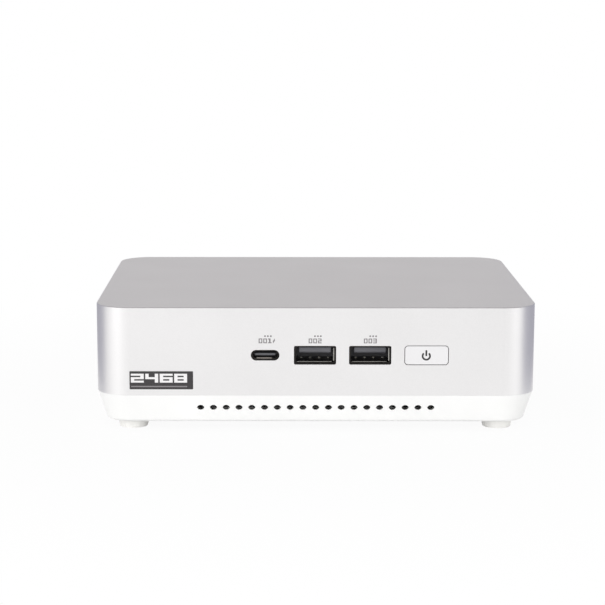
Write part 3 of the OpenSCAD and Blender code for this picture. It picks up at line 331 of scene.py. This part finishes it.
BEDDING = 0.01             # how deep a film sits in what it lies on


def plain_card(width, height):
    """A flat rectangle round the origin."""
    card = bmesh.new()
    bmesh.ops.create_grid(card, x_segments=1, y_segments=1, size=0.5)
    bmesh.ops.scale(card, vec=mm(width, height, 1), verts=card.verts)
    return card


def round_card(width, height, radius, segments=6):
    """A flat card with round corners."""
    card = plain_card(width, height)
    bmesh.ops.bevel(card, geom=card.verts[:], offset=mm(radius), segments=segments,
                    profile=0.5, affect="VERTICES", material=-1)
    return card


def round_ring(width, height, radius, wall, segments=6):
    """A flat ring with round corners."""
    ring = round_card(width, height, radius, segments)
    bmesh.ops.inset_region(ring, faces=ring.faces[:], thickness=mm(wall), use_even_offset=True)
    middle = max(ring.faces, key=lambda face: face.calc_area())
    bmesh.ops.delete(ring, geom=[middle], context="FACES")
    return ring


def thicken(mesh, reach):
    """Makes flat faces a closed solid that reaches that far along Z."""
    grown = bmesh.ops.extrude_face_region(mesh, geom=mesh.faces[:], use_keep_orig=True)["geom"]
    end = [item for item in grown if isinstance(item, bmesh.types.BMVert)]
    bmesh.ops.translate(mesh, verts=end, vec=mm(0, 0, reach))


def stand_up(mesh, place):
    """Stands closed solids up with their origin at a place, in metres."""
    bmesh.ops.recalc_face_normals(mesh, faces=mesh.faces)
    turned = Matrix.Translation(place) @ Matrix.Rotation(math.pi / 2, 4, "X")
    bmesh.ops.transform(mesh, matrix=turned, verts=mesh.verts)


def new_object(name, mesh, material):
    """An object of a finished mesh."""
    data = bpy.data.meshes.new(name)
    mesh.to_mesh(data)
    mesh.free()
    data.materials.append(material)
    made = bpy.data.objects.new(name, data)
    bpy.context.scene.collection.objects.link(made)
    return made


def piece(name, mesh, material, body="chassis"):
    """A piece of the computer, which rides on a body."""
    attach(new_object(name, mesh, material), body)


# ---- Inside the front ports ----

SLEEVE_GAP = 0.35          # from the outside of the port's shell to the sleeve
SLEEVE_WALL = 0.05
SLEEVE_DEPTH = 8.5
SLEEVE_SET_BACK = 0.4      # of its mouth from the shell's
BUMP_PLACES = (-4.5, -1.5, 1.5, 4.5)
BUMP_RADIUS = 0.55
SIDE_LEAF = 0.26           # thickness of the spring leaf up the right wall
FLOOR_LEAF = 0.08
OVAL_HEIGHT = 3.0          # of the oval shell without its foot
LIP_WALL = 0.3
LIP_PROUD = 0.04


def spring_leaf(mesh, width, height, x, y, depth):
    """A leaf along a port's wall, with round edges, that starts at the mouth."""
    leaf = bmesh.ops.create_cube(mesh, size=1)["verts"]
    bmesh.ops.scale(mesh, vec=mm(width, height, depth), verts=leaf)
    bmesh.ops.translate(mesh, vec=mm(x, y, -depth / 2), verts=leaf)
    edges = {edge for vert in leaf for edge in vert.link_edges}
    bmesh.ops.bevel(mesh, geom=list(edges), offset=mm(min(width, height) * 0.2), segments=2,
                    profile=0.5, affect="EDGES", material=-1)


def port_sleeve(name, node):
    """Matt inside of a port, just clear of the blackened shell, with spring bumps deep on its floor
    and two spring leaves at its mouth: one up the right wall and a short one across the floor."""
    low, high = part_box(node)
    width = (high - low).x * 1000 - 2 * SLEEVE_GAP
    height = (high - low).z * 1000 - 2 * SLEEVE_GAP
    sleeve = round_ring(width, height, 0.45, SLEEVE_WALL)
    thicken(sleeve, -SLEEVE_DEPTH)
    for across in BUMP_PLACES:
        bump = bmesh.ops.create_uvsphere(sleeve, u_segments=16, v_segments=8,
                                         radius=mm(BUMP_RADIUS))["verts"]
        bmesh.ops.scale(sleeve, vec=(0.9, 0.6, 1.4), verts=bump)
        bmesh.ops.translate(sleeve, verts=bump, vec=mm(across, -height / 2, -SLEEVE_DEPTH * 0.9))
    spring_leaf(sleeve, SIDE_LEAF, height * 0.84, (width - SIDE_LEAF) / 2, 0, 2)
    spring_leaf(sleeve, width * 0.9, FLOOR_LEAF, -width * 0.02, 0.16 - height / 2, 0.3)
    stand_up(sleeve, ((low + high).x / 2, low.y + mm(SLEEVE_SET_BACK), (low + high).z / 2))
    piece(name, sleeve, SLEEVE_TIN)


def oval_port_painted_highlight():
    """Lighter nickel edge round the lower half of the oval port, with the floor just inside it: a
    painted highlight, which draws that half lit and leaves the upper half of the dark shell in shade.
    """
    low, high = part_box("front_oval_shell")
    width = (high - low).x * 1000
    lip = round_ring(width, OVAL_HEIGHT, OVAL_HEIGHT * 0.499, LIP_WALL, 12)
    bmesh.ops.bisect_plane(lip, geom=lip.verts[:] + lip.edges[:] + lip.faces[:],
                           plane_co=mm(0, -OVAL_HEIGHT * 0.1, 0), plane_no=(0, 1, 0),
                           clear_outer=True)
    thicken(lip, LIP_PROUD)
    # Lighter strip across the port's floor just inside the mouth: a painted highlight.
    spring_leaf(lip, (width - OVAL_HEIGHT) * 0.86, 0.12, -0.3, 0.36 - OVAL_HEIGHT / 2, 1.4)
    stand_up(lip, ((low + high).x / 2, low.y - mm(BEDDING), high.z - mm(OVAL_HEIGHT / 2)))
    piece("oval_port_painted_highlight", lip, PAINTED_HIGHLIGHT_NICKEL)


# ---- Flat marks on the front ----

FACE_Y = cad_box[0].y      # the front face, which the case's box ends at
INK = 0.02                 # thickness of a printed film

LABEL_X = -50.3
LABEL_Z = 17.65
LABEL_W = 20.7
LABEL_H = 6.0
LABEL_T = 0.08
LABEL_MARKS_X = LABEL_X - 0.75
LABEL_DIGIT_Z = LABEL_Z + 0.72
LABEL_RULE_Z = LABEL_Z - 2.05
LABEL_DIGIT = {"width": 4.2, "height": 2.95, "upright": 1.1, "bar": 0.65}

NUMBER_Z = 30.75
DOTS_Z = 32.3
DOTS_ASIDE = 0.9           # to the right of the port's middle
BOLT_ASIDE = 2.85
PORT_DIGIT = {"width": 1.2, "height": 1.57, "upright": 0.34, "bar": 0.3}

POWER_ASIDE = -0.1         # of the power mark from the middle of the button
POWER_RING_UP = -0.22
POWER_BAR_UP = 0.74
POWER_STROKE = 0.58

# Filled cells of a digit: three columns in each of five rows, from the top
DIGITS = {
    "0": ("111", "101", "101", "101", "111"),
    "1": ("110", "010", "010", "010", "111"),
    "2": ("111", "001", "111", "100", "111"),
    "3": ("111", "001", "111", "001", "111"),
    "4": ("101", "101", "111", "001", "001"),
    "6": ("111", "100", "111", "101", "111"),
    "8": ("111", "101", "111", "101", "111"),
}


def mark(name, mesh, x, z, ink, thickness=INK, lift=0.0, body="chassis"):
    """Flat faces made a film on the front face, or lifted off it, with their origin at x and z."""
    thicken(mesh, thickness + BEDDING)
    stand_up(mesh, (mm(x), FACE_Y - mm(lift - BEDDING), mm(z)))
    piece(name, mesh, ink, body)


def block_digit(name, width, height, upright, bar):
    """A digit of three columns and five rows with those stroke widths, centred."""
    across = [0, upright, width - upright, width]
    gap = (height - 3 * bar) / 2
    down = [0, bar, bar + gap, 2 * bar + gap, height - bar, height]
    digit = bmesh.new()
    for row, cells in enumerate(DIGITS[name]):
        for column, cell in enumerate(cells):
            if cell == "1":
                made = bmesh.ops.create_grid(digit, x_segments=1, y_segments=1, size=0.5)["verts"]
                size = mm(across[column + 1] - across[column], down[row + 1] - down[row], 1)
                middle = mm((across[column] + across[column + 1] - width) / 2,
                            (height - down[row] - down[row + 1]) / 2, 0)
                bmesh.ops.scale(digit, vec=size, verts=made)
                bmesh.ops.translate(digit, vec=middle, verts=made)
    bmesh.ops.remove_doubles(digit, verts=digit.verts, dist=mm(0.005))
    return digit


def number(name, digits, x, z, pitch, shape, ink, lift=0.0):
    """Prints digits of one shape side by side, centred on x and z."""
    for i, digit in enumerate(digits):
        digit_x = x + (i - (len(digits) - 1) / 2) * pitch
        mark(f"{name}_{i + 1}", block_digit(digit, **shape), digit_x, z, ink, lift=lift)


def front_label():
    """Dark label low on the left of the front, with plain even digits over a thin rule."""
    plate = round_card(LABEL_W, LABEL_H, 0.25, 4)
    mark("label_plate", plate, LABEL_X, LABEL_Z, LABEL_FILM, LABEL_T)
    number("label_digit", "2468", LABEL_MARKS_X, LABEL_DIGIT_Z, 4.7, LABEL_DIGIT, PALE_INK,
           LABEL_T)
    rule = round_card(18.3, 0.4, 0.05, 2)
    mark("label_rule", rule, LABEL_MARKS_X, LABEL_RULE_Z, GREY_INK, lift=LABEL_T)


def dot_row(count, radius, pitch):
    """Round dots in a row, centred."""
    row = bmesh.new()
    for i in range(count):
        made = bmesh.ops.create_circle(row, cap_ends=True, segments=20, radius=mm(radius))["verts"]
        bmesh.ops.translate(row, vec=mm((i - (count - 1) / 2) * pitch, 0, 0), verts=made)
    return row


def charge_bolt(width, height):
    """Standard zigzag bolt: two slim triangles that point up and down, slid apart."""
    bolt = bmesh.new()
    for side in (1, -1):
        made = bmesh.ops.create_circle(bolt, cap_ends=True, segments=3,
                                       radius=mm(height * 0.42))["verts"]
        bmesh.ops.scale(bolt, vec=(0.6, 1, 1), verts=made)
        turn = math.radians(180 * (side < 0) - 14)
        bmesh.ops.rotate(bolt, matrix=Matrix.Rotation(turn, 3, "Z"), verts=made)
        bmesh.ops.translate(bolt, vec=mm(side * width * 0.12, side * height * 0.2, 0), verts=made)
    return bolt


def port_marks():
    """Small printed numbers over the three ports, with dots over each and a bolt by the first."""
    ports = ["front_oval_shell", "front_left_shell", "front_right_shell"]
    for i, node in enumerate(ports):
        x = middle_mm(node).x
        number(f"port_number_{i + 1}", f"00{i + 1}", x, NUMBER_Z, 1.5, PORT_DIGIT, GREY_INK)
        mark(f"port_dots_{i + 1}", dot_row(3, 0.3, 0.95), x + DOTS_ASIDE, DOTS_Z, GREY_INK)
    bolt_x = middle_mm(ports[0]).x + BOLT_ASIDE
    mark("charge_bolt", charge_bolt(1.05, 1.35), bolt_x, NUMBER_Z, GREY_INK)


def open_ring(radius, stroke, opening):
    """A flat ring with round ends and an opening of that many degrees at the top."""
    ring = bmesh.new()
    ends = [ring.verts.new(mm(0, radius + side * stroke / 2, 0)) for side in (-1, 1)]
    bmesh.ops.rotate(ring, matrix=Matrix.Rotation(math.radians(opening / 2), 3, "Z"), verts=ends)
    edge = ring.edges.new(ends)
    bmesh.ops.spin(ring, geom=[edge, *ends], cent=(0, 0, 0), axis=(0, 0, 1),
                   angle=math.radians(360 - opening), steps=40, use_merge=False)
    corners = [vert for vert in ring.verts if len(vert.link_edges) == 2]
    bmesh.ops.bevel(ring, geom=corners, offset=mm(stroke * 0.45), segments=4, profile=0.5,
                    affect="VERTICES", material=-1)
    return ring


def power_symbol():
    """Standard power mark on the button: an open ring with a bar in the opening."""
    x = middle_mm("power_button").x + POWER_ASIDE
    z = middle_mm("power_button").z
    ring = open_ring(1.2, POWER_STROKE, 84)
    mark("power_ring", ring, x, z + POWER_RING_UP, CHARCOAL_INK, body="power_button")
    bar = round_card(POWER_STROKE, 2.0, POWER_STROKE * 0.45, 4)
    mark("power_bar", bar, x, z + POWER_BAR_UP, CHARCOAL_INK, body="power_button")


# ---- Studio ----

def background_rays(owner):
    """1 for rays that show the background: straight from the camera, mirrored or refracted."""
    path = add(owner, "LightPath").outputs
    seen = add(owner, "Math", {0: path["Is Camera Ray"], 1: path["Is Glossy Ray"]},
               operation="ADD")
    return add(owner, "Math", {0: seen, 1: path["Is Transmission Ray"]}, operation="ADD",
               use_clamp=True)


def white_surroundings(level):
    """White where the background shows, and grey light of that level on the object."""
    world = bpy.data.worlds.new("studio")
    bpy.context.scene.world = world
    world.use_nodes = True
    world.node_tree.nodes.clear()
    strength = add(world, "MapRange", {"Value": background_rays(world), "To Min": level})
    light = add(world, "Background", {"Color": (1, 1, 1, 1), "Strength": strength})
    add(world, "OutputWorld", {"Surface": light})


def pale_floor():
    """White sweep under the case: it keeps a faint shadow there, and glows fully white from 220 mm
    out. It can't be seen from below, so that the underside can be."""
    sweep = blank("white_sweep")
    away = add(sweep, "VectorMath", {0: own_place(sweep)}, operation="LENGTH").outputs["Value"]
    fade = add(sweep, "MapRange", {
        "Value": away, "From Min": mm(100), "From Max": mm(220), "To Min": 0.94})
    share = add(sweep, "Math", {0: background_rays(sweep), 1: fade}, operation="MULTIPLY")
    paper = add(sweep, "BsdfDiffuse", {"Color": linear("#E8E8E8")})
    glow = add(sweep, "Emission", {"Color": (1, 1, 1, 1), "Strength": 1.0})
    above = add(sweep, "MixShader", {"Fac": share, 1: paper, 2: glow})
    below = add(sweep, "BsdfTransparent")
    side = add(sweep, "NewGeometry").outputs["Backfacing"]
    both = add(sweep, "MixShader", {"Fac": side, 1: above, 2: below})
    add(sweep, "OutputMaterial", {"Surface": both})
    sheet = bmesh.new()
    bmesh.ops.create_circle(sheet, cap_ends=True, segments=64, radius=mm(4000))
    new_object("floor", sheet, sweep)


def shiny_only(name, mesh, grey):
    """A plain grey sheet of the studio that only shows in shiny surfaces."""
    cloth = blank(name)
    glow = add(cloth, "Emission", {"Color": linear(grey), "Strength": 1.0})
    add(cloth, "OutputMaterial", {"Surface": glow})
    sheet = new_object(name, mesh, cloth)
    sheet.visible_camera = False
    sheet.visible_diffuse = False
    sheet.visible_shadow = False


def tent(radius, opening):
    """Grey tent over the case. In front it hangs down to a low opening, which starts that far in
    front of the middle and rises by one in four."""
    dome = bmesh.new()
    bmesh.ops.create_uvsphere(dome, u_segments=64, v_segments=32, radius=mm(radius))
    bmesh.ops.bisect_plane(dome, geom=dome.verts[:] + dome.edges[:] + dome.faces[:],
                           plane_co=mm(0, -opening, 0), plane_no=(0, 1, 4), clear_inner=True)
    shiny_only("tent", dome, "#CECCCD")


def tent_ceiling(width, depth, height):
    """Darker ceiling of the tent, which draws the edge between the front and the top."""
    card = plain_card(width, depth)
    bmesh.ops.translate(card, vec=mm(0, 0, height), verts=card.verts)
    shiny_only("overhead", card, "#8E8D8F")


def edge_card(name, side, front):
    """Blue-grey card beside the case, from its front to far behind, which draws its upright edge
    against the white."""
    gap = 50
    back = 350
    height = 100
    card = plain_card(height, back - front)
    bmesh.ops.rotate(card, matrix=Matrix.Rotation(math.pi / 2, 3, "Y"), verts=card.verts)
    place = Vector((side * (cad_box[1].x + mm(gap)), mm(front + back) / 2, mm(height) / 2))
    bmesh.ops.translate(card, vec=place, verts=card.verts)
    shiny_only(name, card, "#AEAEBA")


def softbox(name, place, width, height, radiance):
    """Rectangular soft lamp at place, aimed at the case; radiance 1 looks white."""
    lamp = bpy.data.lights.new(name, "AREA")
    lamp.shape = "RECTANGLE"
    lamp.size = mm(width)
    lamp.size_y = mm(height)
    lamp.energy = radiance * math.pi * lamp.size * lamp.size_y
    held = bpy.data.objects.new(name, lamp)
    held.location = mm(*place)
    held.rotation_euler = (mm(0, 0, 20) - held.location).to_track_quat("-Z", "Y").to_euler()
    bpy.context.scene.collection.objects.link(held)


def camera():
    """Camera in front and a little above, with a long lens."""
    look_down = math.radians(9.85)
    turn = math.radians(0.264)
    lens = bpy.data.cameras.new("camera")
    lens.sensor_width = 36
    lens.lens = 107.2
    lens.shift_x = 0.0462
    eye = bpy.data.objects.new("camera", lens)
    eye.location = mm(-10.8, -629.2, 142.9)
    eye.rotation_euler = (math.pi / 2 - look_down, 0, turn)
    bpy.context.scene.collection.objects.link(eye)
    bpy.context.scene.camera = eye


finish_frame()
port_sleeve("left_port_sleeve", "front_left_shell")
port_sleeve("right_port_sleeve", "front_right_shell")
oval_port_painted_highlight()
front_label()
port_marks()
power_symbol()

white_surroundings(level=0.75)
pale_floor()
tent(radius=1100, opening=150)
tent_ceiling(width=1800, depth=900, height=750)
edge_card("left_flag", side=-1, front=-50)
edge_card("right_flag", side=1, front=-70)
softbox("front_softbox", (-300, -1000, 600), width=1200, height=800, radiance=1.2)
softbox("left_softbox", (-880, -880, 200), width=860, height=700, radiance=1.9)
softbox("right_softbox", (980, -870, 260), width=700, height=700, radiance=1.6)
camera()
bpy.context.scene.view_settings.view_transform = "Standard"
